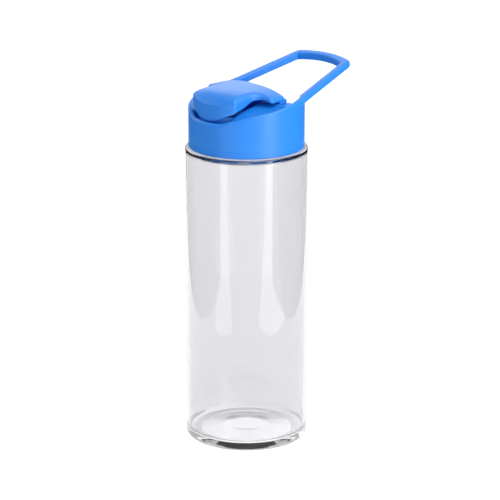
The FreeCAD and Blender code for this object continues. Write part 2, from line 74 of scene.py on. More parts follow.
# An outline of corner points where each corner is an arc of its own radius: the arc touches both sides at
# radius times the tangent of half the turn from the corner. Long sides are cut into steps.
def softPath(corners, radii, step=1.5, arcSteps=6, closed=False):
    corners = np.asarray(corners, float)
    count = len(corners)
    pieces = []
    for i, (corner, radius) in enumerate(zip(corners, radii)):
        atEnd = not closed and i in (0, count - 1)
        if atEnd or radius <= 0:
            pieces.append(corner[None])
            continue
        before = corners[i - 1] - corner
        after = corners[(i + 1) % count] - corner
        u, v = before / np.linalg.norm(before), after / np.linalg.norm(after)
        half = math.acos(np.clip(u @ v, -1, 1)) / 2
        reach = radius / math.tan(half)
        middle = corner + (u + v) / np.linalg.norm(u + v) * radius / math.sin(half)
        start, end = corner + u * reach - middle, corner + v * reach - middle
        turn = np.linspace(0, 1, arcSteps + 1)[:, None]
        sweep = math.pi - 2 * half
        arc = (np.sin((1 - turn) * sweep) * start + np.sin(turn * sweep) * end) / math.sin(sweep)
        pieces.append(middle + arc)
    path = []
    joined = np.concatenate(pieces)
    ends = np.roll(joined, -1, 0) if closed else joined[1:]
    for a, b in zip(joined, ends):
        parts = max(1, int(round(np.linalg.norm(b - a) / step)))
        path.append(a + (b - a) * (np.arange(parts) / parts)[:, None])
    if not closed:
        path.append(joined[-1:])
    return np.concatenate(path)


# The same path from corners that each end with their own round.
def roundedPath(corners, step=1.5, arcSteps=6, closed=False):
    corners = np.array(corners, float)
    return softPath(corners[:, :2], corners[:, 2], step, arcSteps, closed)


# A profile of radius and height turned about an upright line: x is radius times cosine, y radius times sine.
def turnedGrid(profile, columns=192, front=0.0):
    angle = np.arange(columns) / columns * 2 * np.pi
    radius, height = profile[:, :1], profile[:, 1:]
    x, y = radius * np.cos(angle), radius * np.sin(angle) - front
    return np.stack([x, y, np.broadcast_to(height, x.shape)], -1)


# A smooth rise from 0 to 1: three t squared less two t cubed.
def ease(t):
    t = np.clip(t, 0, 1)
    return t * t * (3 - 2 * t)


# A smooth curve through points: between neighbours a cubic whose end slopes are the chords of the points
# on either side.
def smoothCurve(x, knotX, knotY):
    knotX, knotY = np.asarray(knotX, float), np.asarray(knotY, float)
    slope = np.gradient(knotY, knotX)
    x = np.clip(x, knotX[0], knotX[-1])
    i = np.clip(np.searchsorted(knotX, x) - 1, 0, len(knotX) - 2)
    width = knotX[i + 1] - knotX[i]
    t = (x - knotX[i]) / width
    a = (1 + 2 * t) * (1 - t) ** 2 * knotY[i] + t * (1 - t) ** 2 * width * slope[i]
    b = t * t * (3 - 2 * t) * knotY[i + 1] + t * t * (t - 1) * width * slope[i + 1]
    return a + b


# The rib of a screw thread, as a height above its wall: a trapezium about the helix whose height rises by
# one lead a turn, tapered away over the run-out at both ends.
def threadRib(angle, height, start, rib):
    rise = np.zeros(np.broadcast(angle, height).shape)
    flank = (rib["root"] - rib["crest"]) / 2
    for lap in range(2):
        turn = angle / (2 * np.pi) + lap
        away = np.abs(height - start - rib["lead"] * turn)
        bump = np.clip((rib["root"] / 2 - away) / flank, 0, 1)
        taper = ease(turn / rib["runOut"]) * ease((rib["turns"] - turn) / rib["runOut"])
        rise = np.maximum(rise, bump * taper)
    return rise * rib["depth"]


# A piece takes over CAD nodes, rides on their body and takes its material.
def stand(piece, body, slotName, material, *nodes):
    piece.data.materials.clear()
    piece.data.materials.append(material)
    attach(piece, body)
    if nodes:
        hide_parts(*nodes)
    return piece


mouldedBlue = {
    "body": (0.014, 0.225, 0.770),
    "deep": (0.010, 0.203, 0.720),
    "roughness": 0.36,
    "roughSpread": (0.05, 0.07),
    "grain": 5200.0,
    "grainBump": (0.12, 0.00006),
    "flow": 90.0,
    "flowStretch": (1, 1, 0.35),
    "subsurface": 0.12,
    "bleed": (0.0006, 0.0012, 0.0030),
    "ior": 1.49,
}
clearPlastic = {
    "tint": (0.785, 0.782, 0.80),
    "roughness": 0.03,
    "roughSpread": (0.012, 0.012),
    "ior": 1.53,
    "ripple": 38.0,
    "rippleStretch": (1, 1, 0.12),
    "rippleBump": (0.05, 0.0004),
}
siliconeLook = {
    "white": (0.80, 0.83, 0.86),
    "blue": (0.02, 0.17, 0.55),
    "roughness": 0.45,
    "roughSpread": (0.06, 0.08),
    "grain": 2400.0,
    "grainBump": (0.08, 0.00005),
    "subsurface": 0.3,
    "bleed": (0.002, 0.002, 0.002),
}
wireLook = {
    "body": (0.72, 0.72, 0.74),
    "roughness": 0.24,
    "roughSpread": (0.08, 0.12),
    "scratch": 900.0,
    "scratchStretch": (0.08, 1, 1),
}


def newMaterial(name):
    material = bpy.data.materials.new(name)
    material.use_nodes = True
    nodes = material.node_tree.nodes
    return material, nodes, material.node_tree.links, nodes["Principled BSDF"]


def addNoise(nodes, links, scale, detail, stretch=(1, 1, 1)):
    place = nodes.new("ShaderNodeTexCoord")
    mapping = nodes.new("ShaderNodeMapping")
    mapping.inputs["Scale"].default_value = stretch
    noise = nodes.new("ShaderNodeTexNoise")
    noise.inputs["Scale"].default_value = scale
    noise.inputs["Detail"].default_value = detail
    links.new(place.outputs["Object"], mapping.inputs["Vector"])
    links.new(mapping.outputs["Vector"], noise.inputs["Vector"])
    return noise


# The noise moves the roughness from a little below the look's own value to a little above it.
def roughen(nodes, links, shader, noise, look):
    less, more = look["roughSpread"]
    ramp = nodes.new("ShaderNodeMapRange")
    ramp.inputs["To Min"].default_value = look["roughness"] - less
    ramp.inputs["To Max"].default_value = look["roughness"] + more
    links.new(noise.outputs["Fac"], ramp.inputs["Value"])
    links.new(ramp.outputs["Result"], shader.inputs["Roughness"])


def addBump(nodes, links, shader, noise, strengthAndDistance):
    bump = nodes.new("ShaderNodeBump")
    bump.inputs["Strength"].default_value, bump.inputs["Distance"].default_value = strengthAndDistance
    links.new(noise.outputs["Fac"], bump.inputs["Height"])
    links.new(bump.outputs["Normal"], shader.inputs["Normal"])


# Moulded polypropylene: slow flow marks shift the blue a little, and a fine spark grain roughens it.
def makeBlue():
    material, nodes, links, shader = newMaterial("moulded blue")
    look = mouldedBlue
    flow = addNoise(nodes, links, look["flow"], 3, look["flowStretch"])
    mix = nodes.new("ShaderNodeMix")
    mix.data_type = "RGBA"
    mix.inputs["A"].default_value = (*look["body"], 1)
    mix.inputs["B"].default_value = (*look["deep"], 1)
    links.new(flow.outputs["Fac"], mix.inputs["Factor"])
    links.new(mix.outputs["Result"], shader.inputs["Base Color"])
    grain = addNoise(nodes, links, look["grain"], 2)
    roughen(nodes, links, shader, grain, look)
    addBump(nodes, links, shader, grain, look["grainBump"])
    shader.inputs["Subsurface Weight"].default_value = look["subsurface"]
    shader.inputs["Subsurface Radius"].default_value = look["bleed"]
    shader.inputs["Subsurface Scale"].default_value = 1.0
    shader.inputs["IOR"].default_value = look["ior"]
    return material


# Clear copolyester: very faint upright flow ripples from blowing, almost no haze.
def makeClear():
    material, nodes, links, shader = newMaterial("clear copolyester")
    look = clearPlastic
    shader.inputs["Base Color"].default_value = (*look["tint"], 1)
    shader.inputs["Transmission Weight"].default_value = 1.0
    shader.inputs["IOR"].default_value = look["ior"]
    ripple = addNoise(nodes, links, look["ripple"], 1, look["rippleStretch"])
    roughen(nodes, links, shader, ripple, look)
    addBump(nodes, links, shader, ripple, look["rippleBump"])
    return material


# Soft silicone: slightly translucent, with a fine matt grain.
def makeSilicone(colour):
    material, nodes, links, shader = newMaterial(f"{colour} silicone")
    look = siliconeLook
    grain = addNoise(nodes, links, look["grain"], 2)
    shader.inputs["Base Color"].default_value = (*look[colour], 1)
    shader.inputs["Subsurface Weight"].default_value = look["subsurface"]
    shader.inputs["Subsurface Radius"].default_value = look["bleed"]
    roughen(nodes, links, shader, grain, look)
    addBump(nodes, links, shader, grain, look["grainBump"])
    return material


# Drawn wire: fine scratches that run along the pin.
def makeWire():
    material, nodes, links, shader = newMaterial("drawn wire")
    look = wireLook
    scratch = addNoise(nodes, links, look["scratch"], 3, look["scratchStretch"])
    shader.inputs["Base Color"].default_value = (*look["body"], 1)
    shader.inputs["Metallic"].default_value = 1.0
    roughen(nodes, links, shader, scratch, look)
    return material


blue = makeBlue()
clear = makeClear()
silicone = makeSilicone("white")
blueSilicone = makeSilicone("blue")
wire = makeWire()
print("materials made")

thread = {"lead": 6.0, "turns": 1.6, "depth": 1.1, "crest": 1.0, "root": 2.2, "start": 186.2, "runOut": 0.05}
bottle = {
    "radius": 36.8,
    "shoulder": 181.4,
    "wall": 1.9,
    "floor": 4.6,
    "pushUp": 2.0,
    "pushUpRadius": 27.0,
    "crownRadius": 12.0,
    "baseEdge": 3.2,
    "neckRadius": 30.0,
    "neckBore": 27.6,
    "neckTop": 198.3,
    "domeRound": 40.0,
    "footRound": 6.0,
    "shoulderRound": 1.2,
    "neckRootRound": 0.8,
    "lipRound": 0.7,
    "innerNeckRound": 1.5,
    "innerFloorRound": 3.4,
    "innerFootRound": 8.0,
    "neckMargin": 1.0,
    "columns": 168,
}


# One profile goes out over the base, up the wall, over the shoulder and the neck's lip, and back down the
# inside. The thread's rib is added to the radius where the neck's outside stands.
def makeBottle():
    b = bottle
    inside = b["radius"] - b["wall"]
    # each corner is a radius, a height and the round on it
    corners = [
        (poleRadius, b["pushUp"], 0),
        (b["crownRadius"], b["pushUp"], b["domeRound"]),
        (b["pushUpRadius"], 0, b["footRound"]),
        (b["radius"], 0, b["baseEdge"]),
        (b["radius"], b["shoulder"], b["shoulderRound"]),
        (b["neckRadius"], b["shoulder"], b["neckRootRound"]),
        (b["neckRadius"], b["neckTop"], b["lipRound"]),
        (b["neckBore"], b["neckTop"], b["lipRound"]),
        (b["neckBore"], b["shoulder"] - b["wall"], b["innerNeckRound"]),
        (inside, b["shoulder"] - 1.2 * b["wall"], b["shoulderRound"]),
        (inside, b["floor"], b["innerFloorRound"]),
        (b["pushUpRadius"], b["floor"], b["innerFootRound"]),
        (b["crownRadius"], b["floor"] + 0.8 * b["pushUp"], b["domeRound"]),
        (poleRadius, b["floor"] + 0.8 * b["pushUp"], 0),
    ]
    grid = turnedGrid(roundedPath(corners, step=0.9, arcSteps=8), b["columns"])
    radius = np.hypot(grid[..., 0], grid[..., 1])
    angle = np.arctan2(grid[..., 1], grid[..., 0]) % (2 * np.pi)
    onNeck = (np.abs(radius - b["neckRadius"]) < 0.05) & (grid[..., 2] > b["shoulder"] + b["neckMargin"])
    rib = np.where(onNeck, threadRib(angle, grid[..., 2], thread["start"], thread), 0)
    grid[..., :2] *= ((radius + rib) / radius)[..., None]
    body = stand(gridSkin("clear_bottle", grid), "bottle", "clear_body", clear, "bottle_body")
    body.visible_shadow = False
    return body


makeBottle()
print("bottle made")

# The cap is a shell of skirt, deck and rim; the loop, shelves, rib, screen and shoulders stand on it.
cap = {
    "radius": 34.7,
    "bottom": 181.7,
    "skirtBore": 31.6,
    "deckBottom": 199.2,
    "deckTop": 201.0,
    "rimInner": 32.4,
    "rimFront": 201.8,
    "outerRound": 1.4,
    "innerRound": 0.7,
    "band": 185.9,
    "bandDepth": 0.16,
    "bandWidth": 0.28,
    "bandMargin": 2.0,
    "footRound": 0.5,
    "deckFillet": 2.4,
    "spoutHole": 6.05,
    "spoutFront": 17.0,
    "boreChamfer": 0.8,
    "boreLip": 0.4,
    "threadDrop": 2.5,
    "overlap": 0.4,
}
# the rim's height over points from the front to the rear
rim = {
    "back": [-34.8, -33.4, -29.6, -24, -17, -10, 3, 16, 19, 22, 25, 28, 31, 33, 34.8],
    "height": [
        201.8, 201.9, 204.5, 206.7, 208.2, 209.3, 211.4, 213.3,
        213.6, 213.5, 212.6, 210.4, 206.2, 202.8, 201.8,
    ],
}
loop = {
    "rise": 209.45,
    "slope": 0.262,
    "depth": 4.5,
    "width": 5.0,
    "taper": 0.2,
    "reach": 65.9,
    "bow": 4.0,
    "corner": 3.2,
    "innerCorner": 0.7,
    "leave": 17.5,
    "root": 1.0,
    "stations": 150,
    "sink": 0.08,
    "innerClear": 0.35,
    "outerPower": 0.62,
    "innerPower": 0.3,
    "innerRisePower": 0.42,
}


# Height of the rim over a point that far back: flat in front, up a curve, then a steady climb, and a fall
# behind the loop's arms to the low rear rim.
def rimHeight(back):
    return np.clip(smoothCurve(back, rim["back"], rim["height"]), cap["rimFront"], None)


# A circle, or a line that runs round like one, from a radius and a height that may change with the angle.
def ring(angle, radius, height, front=0.0):
    height = np.broadcast_to(height, angle.shape)
    return np.stack([radius * np.cos(angle), radius * np.sin(angle) - front, height], -1)


# Rows run up the outside, over the rounded rim, down inside to the deck, across it to the spout's hole,
# through the hole, back out under the deck and down the threaded bore. Each row is a circle whose radius
# and height may change with the angle.
def makeCapShell():
    c = cap
    angle = np.arange(360) / 360 * 2 * np.pi
    top = rimHeight(c["radius"] * np.sin(angle))
    rows = []
    foot = c["footRound"]
    for t in np.linspace(0, np.pi / 2, 4):
        out = c["radius"] - foot * (1 - math.sin(t))
        rows.append(ring(angle, out, c["bottom"] + foot * (1 - math.cos(t))))
    for height in np.arange(c["bottom"] + 2 * foot, c["band"] + c["bandMargin"], 0.25):
        dip = c["bandDepth"] * math.exp(-(((height - c["band"]) / c["bandWidth"]) ** 2))
        rows.append(ring(angle, c["radius"] - dip, height))
    lowest = c["band"] + 1.1 * c["bandMargin"]
    for t in np.linspace(0, 1, 14):
        rows.append(ring(angle, c["radius"], lowest + (top - c["outerRound"] - lowest) * t))
    for t in np.linspace(0, np.pi / 2, 8)[1:]:
        out = c["radius"] - c["outerRound"] * (1 - math.cos(t))
        rows.append(ring(angle, out, top - c["outerRound"] * (1 - math.sin(t))))
    drop = np.minimum(c["innerRound"], 0.4 * (top - c["deckTop"]))
    for t in np.linspace(0, np.pi / 2, 6):
        out = c["rimInner"] + c["innerRound"] * (1 - math.sin(t))
        rows.append(ring(angle, out, top - drop * (1 - math.cos(t))))
    fillet = np.minimum(c["deckFillet"], 0.5 * (top - c["deckTop"]))
    for t in np.linspace(0, 1, 10)[1:]:
        rows.append(ring(angle, c["rimInner"], (top - drop) * (1 - t) + (c["deckTop"] + fillet) * t))
    for t in np.linspace(0, np.pi / 2, 7)[1:]:
        out = c["rimInner"] - fillet * (1 - math.cos(t))
        rows.append(ring(angle, out, c["deckTop"] + fillet * (1 - math.sin(t))))
    deckEdge, hole = rows[-1], ring(angle, c["spoutHole"], c["deckTop"], c["spoutFront"])
    rows += [deckEdge * (1 - t) + hole * t for t in np.linspace(0, 1, 14)[1:]]
    low = ring(angle, c["spoutHole"], c["deckBottom"], c["spoutFront"])
    rows.append((hole + low) / 2)
    under = ring(angle, c["skirtBore"] - c["boreChamfer"], c["deckBottom"])
    rows += [low * (1 - t) + under * t for t in np.linspace(0, 1, 8)]
    ribStart = thread["start"] - c["threadDrop"]
    for height in np.arange(c["deckBottom"] - c["boreChamfer"], c["bottom"] + foot, -0.3):
        rib = threadRib(angle, np.full_like(angle, height), ribStart, thread)
        rows.append(ring(angle, c["skirtBore"] - rib, height))
    rows.append(ring(angle, c["skirtBore"] + c["boreLip"], c["bottom"]))
    shell = gridSkin("cap_shell", np.stack(rows), wrapRows=True, sharpDegrees=50)
    return stand(shell, "cap", "cap_blue", blue, "screw_cap")


# Half the loop from above, as pairs of outer and inner points: the arms run in by a fixed taper, the end
# bar is an arc through its corners and bow, and both corners are rounded.
def loopOutline(inset, cornerRadius, rootBack):
    l = loop
    tangentX = cap["radius"] / math.sqrt(1 + l["taper"] ** 2)
    armX = lambda back: tangentX - l["taper"] * (back - tangentX * l["taper"]) - inset
    reach = l["reach"] - inset
    endX = armX(reach)
    bowRadius = (endX**2 + l["bow"] ** 2) / (2 * l["bow"])
    across = np.linspace(endX, -endX, 41)
    bar = np.stack([across, reach + l["bow"] - bowRadius + np.sqrt(bowRadius**2 - across**2)], -1)
    right = np.array([[armX(rootBack), rootBack]])
    left = right * (-1, 1)
    radii = [0, cornerRadius] + [0] * 39 + [cornerRadius, 0]
    return softPath(np.concatenate([right, bar, left]), radii, step=0.5, arcSteps=8)


# The same path through evenly spaced points, found along its length.
def evenly(path, count):
    length = np.concatenate([[0], np.cumsum(np.linalg.norm(np.diff(path, axis=0), axis=1))])
    at = np.linspace(0, length[-1], count)
    return np.stack([np.interp(at, length, path[:, i]) for i in range(path.shape[1])], -1)


# The section is a soft D: across runs from the inner outline to the outer, up from the underside to the
# top. Cosine and sine raised to small powers square the inner side and leave the outer side rounder. Where
# the arms run along the cap, both outlines are pressed into its wall.
def makeLoop():
    l = loop
    outer = loopOutline(0.0, l["corner"], l["root"])
    inner = loopOutline(l["width"], l["innerCorner"], l["root"])
    split = lambda path: [path[: len(path) // 2 + 1], path[len(path) // 2 :]]
    outer = np.concatenate([evenly(half, l["stations"]) for half in split(outer)])
    inner = np.concatenate([evenly(half, l["stations"]) for half in split(inner)])
    tangentBack = cap["radius"] * l["taper"] / math.sqrt(1 + l["taper"] ** 2)
    press = (cap["radius"] - l["sink"]) / np.linalg.norm(outer, axis=1)
    outer = np.where((outer[:, 1] < tangentBack)[:, None], outer * press[:, None], outer)
    pull = np.clip((cap["rimInner"] + l["innerClear"]) / np.linalg.norm(inner, axis=1), 1, None)
    near = inner[:, 1] < l["leave"]
    inner = np.where(near[:, None], inner * pull[:, None], inner)
    turn = np.arange(40) / 40 * 2 * np.pi
    side, rise = np.cos(turn), np.sin(turn)
    power = np.where(side > 0, l["outerPower"], l["innerPower"])
    across = 0.5 + 0.5 * np.sign(side) * np.abs(side) ** power
    risePower = np.where(side > 0, l["outerPower"], l["innerRisePower"])
    up = 0.5 * np.sign(rise) * np.abs(rise) ** risePower
    plan = inner[:, None] * (1 - across[None, :, None]) + outer[:, None] * across[None, :, None]
    top = l["rise"] + l["slope"] * plan[..., 1]
    height = top + (up[None, :] - 0.5) * l["depth"]
    grid = np.concatenate([plan, height[..., None]], -1)
    piece = gridSkin("carrying_loop", grid, sharpDegrees=60)
    return stand(piece, "cap", "cap_blue", blue)


hinge = {"back": 3.5, "height": 207.8}
shelf = {
    "inner": 15.3,
    "front": -27.2,
    "rear": -0.4,
    "below": 0.8,
    "climb": 0.1,
    "edge": 1.6,
    "fairingRun": 3.4,
    "fairingHeight": 211.6,
    "intoWall": 0.5,
    "rise": 0.5,
    "riseReach": 2.5,
}
shoulder = {
    "inner": 27.9,
    "outer": 33.0,
    "front": -3.4,
    "rear": 7.5,
    "drop": 0.35,
    "round": 0.9,
    "rearRound": 1.2,
    "edge": 0.5,
}
rib = {"outer": 30.1, "thickness": 1.4, "height": 4.6, "rear": -24.6, "round": 0.6}
screen = {"half": 23.0, "back": 6.2, "thickness": 1.0, "height": 9.5, "round": 3.0, "edge": 0.3}


# A flat outline with round corners, pushed along X (or along Y when turned) between two faces whose edges
# are eased by a small round.
def slab(name, outline, start, end, edge, turned=False):
    middle = outline.mean(0)
    steps = np.linspace(0, np.pi / 2, 4)
    faces = [(start + edge * (1 - math.sin(t)), edge * (1 - math.cos(t))) for t in steps[::-1]]
    faces += [(end - edge * (1 - math.sin(t)), edge * (1 - math.cos(t))) for t in steps]
    away = outline - middle
    size = np.linalg.norm(away, axis=1, keepdims=True)
    rows = []
    for along, inset in faces:
        flat = middle + away * (1 - inset / size)
        rows.append(np.concatenate([np.full((len(flat), 1), along), flat], -1))
    grid = np.stack(rows)
    return gridSkin(name, grid[..., [1, 0, 2]] if turned else grid)


# Beside the nose the deck steps up to a shelf. Its height is a little below the rim's plus a steady climb
# towards the middle and a square-law rise into the rim; it sweeps up to a fairing in front of the tab and
# drops in a round at its inner edge.
def makeShelves():
    f = shelf
    low = cap["deckTop"] - cap["overlap"]
    sections = []
    for back in np.linspace(f["front"], f["rear"], 48):
        reach = math.sqrt((cap["rimInner"] + f["intoWall"]) ** 2 - back * back)
        x = np.linspace(f["inner"], max(reach, f["inner"] + 0.02), 40)
        inward = reach - x
        height = float(rimHeight(back)) - f["below"] + f["climb"] * inward
        sweep = float(ease((back - f["rear"] + f["fairingRun"]) / f["fairingRun"]))
        height = height * (1 - sweep) + f["fairingHeight"] * sweep
        height = height + f["rise"] * np.clip(1 - inward / f["riseReach"], 0, 1) ** 2
        into = np.clip(1 - (x - f["inner"]) / f["edge"], 0, 1)
        height = np.clip(height - f["edge"] * (1 - np.sqrt(1 - into**2)), low + 0.1, None)
        top = np.stack([x, np.full_like(x, back), height], -1)
        under = np.stack([x[::-1], np.full_like(x, back), np.full_like(x, low)], -1)
        sections.append(np.concatenate([top, under]))
    for side, sign in (("right", 1), ("left", -1)):
        skin = gridSkin(f"recess_shelf_{side}", np.stack(sections) * (sign, 1, 1))
        stand(skin, "cap", "cap_blue", blue)


# A low rib on the deck, just inside the nose: a round-topped section carried along an arc about the axis.
def makeRib():
    r = rib
    low, high = cap["deckTop"] - cap["overlap"], cap["deckTop"] + r["height"]
    inner = r["outer"] - r["thickness"]
    corners = [(inner, low), (r["outer"], low), (r["outer"], high), (inner, high)]
    section = softPath(corners, [0, 0, r["round"], r["round"]], 0.6, 5, closed=True)
    lean = math.acos(-r["rear"] / r["outer"])
    angle = (np.linspace(-lean, lean, 72) - np.pi / 2)[:, None]
    x, y = section[:, 0] * np.cos(angle), section[:, 0] * np.sin(angle)
    grid = np.stack([x, y, np.broadcast_to(section[:, 1], x.shape)], -1)
    return stand(gridSkin("locating_rib", grid), "cap", "cap_blue", blue)


# A thin screen across the deck behind the hinge line; its outline from the back has round upper corners.
def makeScreen():
    w = screen
    low, high = cap["deckTop"] - cap["overlap"], cap["deckTop"] + w["height"]
    corners = [(-w["half"], low), (w["half"], low), (w["half"], high), (-w["half"], high)]
    outline = softPath(corners, [0, 0, w["round"], w["round"]], 1.2, 8, closed=True)
    wall = slab("rear_screen", outline, w["back"], w["back"] + w["thickness"], w["edge"], turned=True)
    return stand(wall, "cap", "cap_blue", blue)


# Behind the shelf the cheek widens inwards to a shoulder that holds the pin; its top follows the rim.
def makeShoulders():
    f = shoulder
    foot = cap["deckTop"] - cap["overlap"]
    back = np.linspace(f["front"], f["rear"], 9)
    crest = np.stack([back, rimHeight(back) - f["drop"]], -1)
    corners = np.concatenate([[(back[-1], foot), (back[0], foot)], crest])[::-1]
    rounds = [f["round"]] + [0] * 7 + [f["rearRound"], 0, 0]
    outline = softPath(corners, rounds, 0.7, 8, closed=True)
    for side, sign in (("right", 1), ("left", -1)):
        block = slab(f"pin_shoulder_{side}", outline, sign * f["inner"], sign * f["outer"], sign * f["edge"])
        stand(block, "cap", "cap_blue", blue)


makeCapShell()
makeLoop()
makeShelves()
makeRib()
makeScreen()
makeShoulders()
print("cap made")

cover = {
    "wall": 1.8,
    "noseRadius": 32.3,
    "noseHalf": 18.0,
    "noseRound": 2.0,
    "flareFront": -14.0,
    "flareRadius": 7.2,
    "wingHalf": 27.6,
    "wingTip": 2.6,
    "rear": 5.8,
    "droopReach": 16.0,
    "droopPower": 2.6,
    "tipDrop": 1.5,
    "centreBack": -6.0,
    "noseRoll": 1.8,
    "sideRoll": 2.0,
    "lipRound": 0.5,
    "topBack": [-32.6, -32.0, -30.5, -28.5, -26, -23, -18, -10, 0, 6],
    "topHeight": [210.6, 212.0, 213.9, 215.6, 217.0, 218.0, 218.7, 219.0, 219.1, 219.0],
    "edgeBack": [-33, -32.1, -31, -29.5, -27, -23, -19, -15.5, -12.5, -9.5, -6, 6],
    "edgeHeight": [202.0, 202.3, 204.2, 206.0, 208.0, 209.4, 210.6, 212.2, 213.4, 213.9, 214.0, 213.9],
}


# The cover from above, anticlockwise from the middle of the nose, as corners with rounds.
def coverOutline():
    c = cover
    lean = math.asin(c["noseHalf"] / c["noseRadius"])
    sweep = np.linspace(0, lean, 9)
    nose = np.stack([c["noseRadius"] * np.sin(sweep), -c["noseRadius"] * np.cos(sweep)], -1)
    frontEdge = c["flareFront"] + c["flareRadius"]
    wing = np.array([
        (c["noseHalf"], frontEdge),
        (c["wingHalf"], frontEdge),
        (c["wingHalf"], c["rear"]),
        (0, c["rear"]),
    ])
    radii = [0] * 8 + [c["noseRound"], c["flareRadius"], c["wingTip"], c["wingTip"], 0]
    half = softPath(np.concatenate([nose, wing]), radii, step=0.4, arcSteps=10)
    half = evenly(half, 240)
    return np.concatenate([half, (half * (-1, 1))[-2:0:-1]])


# Height of the cover's top: a curve from brow to rear, less a droop towards the sides that is 1 mm at its
# reach and grows with a power of the distance.
def crownHeight(x, y):
    c = cover
    return smoothCurve(y, c["topBack"], c["topHeight"]) - (np.abs(x) / c["droopReach"]) ** c["droopPower"]


# Height of the lower edge: on the rim in front, up in an S along the sides, level under the wings and a
# little lower at their tips.
def edgeHeight(x, y):
    atTip = ease((np.abs(x) - 21) / 5) * ease((y + 9) / 4)
    return smoothCurve(y, cover["edgeBack"], cover["edgeHeight"]) - cover["tipDrop"] * atTip


# Normals of a closed outline: the tangent between neighbours, turned to the right.
def outwards(path):
    tangent = np.roll(path, -1, 0) - np.roll(path, 1, 0)
    tangent /= np.linalg.norm(tangent, axis=1, keepdims=True)
    return np.stack([tangent[:, 1], -tangent[:, 0]], -1)


# Rows spread from the middle of the top to the rounded edge, down the side to the lower edge, round it, up
# the inside and back to the middle, so the shell is one closed skin.
def makeCover():
    c = cover
    outline = coverOutline()
    normal = outwards(outline)
    x, y = outline[:, 0], outline[:, 1]
    low = edgeHeight(x, y)
    atSide = ease((y + 27) / 8) * (1 - ease((np.abs(x) - 19) / 4.5))
    roll = c["noseRoll"] + c["sideRoll"] * atSide * ease((3 - y) / 4)
    centre = np.array([0.0, c["centreBack"]])
    topInset = outline - normal * roll[:, None]
    rows = []
    for t in np.linspace(0.0005, 1, 16):
        flat = centre + (topInset - centre) * t
        rows.append(np.concatenate([flat, crownHeight(flat[:, 0], flat[:, 1])[:, None]], -1))
    crest = crownHeight(topInset[:, 0], topInset[:, 1])
    fall = np.minimum(roll, 0.72 * (crest - low))
    for t in np.linspace(0, np.pi / 2, 10)[1:]:
        flat = outline - normal * (roll * (1 - math.sin(t)))[:, None]
        slopeFix = crownHeight(flat[:, 0], flat[:, 1]) - crest
        height = crest + slopeFix * math.cos(t) - fall * (1 - math.cos(t))
        rows.append(np.concatenate([flat, height[:, None]], -1))
    sideTop = rows[-1][:, 2]
    lip = c["lipRound"]
    for t in np.linspace(0, 1, 8)[1:]:
        height = sideTop * (1 - t) + (low + lip) * t
        rows.append(np.concatenate([outline, height[:, None]], -1))
    for t in np.linspace(0, np.pi, 7)[1:]:
        inset = c["wall"] / 2 * (1 - math.cos(t))
        height = low + lip - lip * math.sin(t)
        rows.append(np.concatenate([outline - normal * inset, height[:, None]], -1))
    inside = outline - normal * c["wall"]
    ceiling = crest - c["wall"]
    for t in np.linspace(0, 1, 6)[1:]:
        height = (low + lip) * (1 - t) + np.maximum(ceiling - fall, low + 0.6) * t
        rows.append(np.concatenate([inside, height[:, None]], -1))
    innerTop = outline - normal * (np.maximum(roll, c["wall"] + 0.6))[:, None]
    for t in np.linspace(0.25, 1, 4):
        flat = inside * (1 - t) + innerTop * t
        height = np.maximum(ceiling - fall * (1 - ease(t)), low + 0.6)
        rows.append(np.concatenate([flat, height[:, None]], -1))
    for t in np.linspace(1, 0.0005, 12)[1:]:
        flat = centre + (innerTop - centre) * t
        rows.append(np.concatenate([flat, (crownHeight(flat[:, 0], flat[:, 1]) - c["wall"])[:, None]], -1))
    shell = gridSkin("cover_shell", np.stack(rows), sharpDegrees=55)
    return stand(shell, "cover", "cover_blue", blue, "flip_cover")


tab = {"inner": 23.6, "outer": 27.5, "radius": 2.9, "top": 213.6, "round": 2.842, "edge": 0.3}
plug = {"radius": 6.0, "post": 2.15, "top": 215.0, "gap": 0.3, "bossTop": 217.6, "seat": 0.6}
spout = {"bore": 4.0, "top": 212.4, "hole": 6.0, "front": 17.0, "flange": 2.6, "bead": 2.2, "snug": 0.05}
valve = {"radius": 4.2, "front": 3.0, "stem": 0.95, "snug": 0.05}
pinSize = {"radius": 1.3, "length": 8.0, "outer": 31.8, "chamfer": 0.3, "columns": 48}


# Each tab is a slab whose outline from the side is straight above and round about the hinge line.
def makeTabs():
    t = tab
    front, rear = hinge["back"] - t["radius"], hinge["back"] + t["radius"]
    low = hinge["height"] - t["radius"]
    corners = [(front, t["top"]), (front, low), (rear, low), (rear, t["top"])]
    outline = softPath(corners, [0, t["round"], t["round"], 0], 0.8, 10, closed=True)
    for side, sign in (("right", 1), ("left", -1)):
        piece = slab(f"hinge_tab_{side}", outline, sign * t["inner"], sign * t["outer"], sign * t["edge"])
        stand(piece, "cover", "cover_blue", blue)


# A round boss with a post below it, turned about the spout's upright line.
def makeBoss():
    p = plug
    step = p["top"] - p["seat"]
    corners = [
        (poleRadius, step - p["seat"], 0),
        (p["post"], step - p["seat"], 0.2),
        (p["post"], step, 0),
        (p["radius"] - 1, step, 0.3),
        (p["radius"] - 1, p["bossTop"], 0.3),
        (poleRadius, p["bossTop"], 0),
    ]
    profile = roundedPath(corners, 0.8, 4)
    boss = gridSkin("plug_boss", turnedGrid(profile, 64, spout["front"]))
    return stand(boss, "cover", "cover_blue", blue)


makeCover()
makeTabs()
makeBoss()
print("cover made")


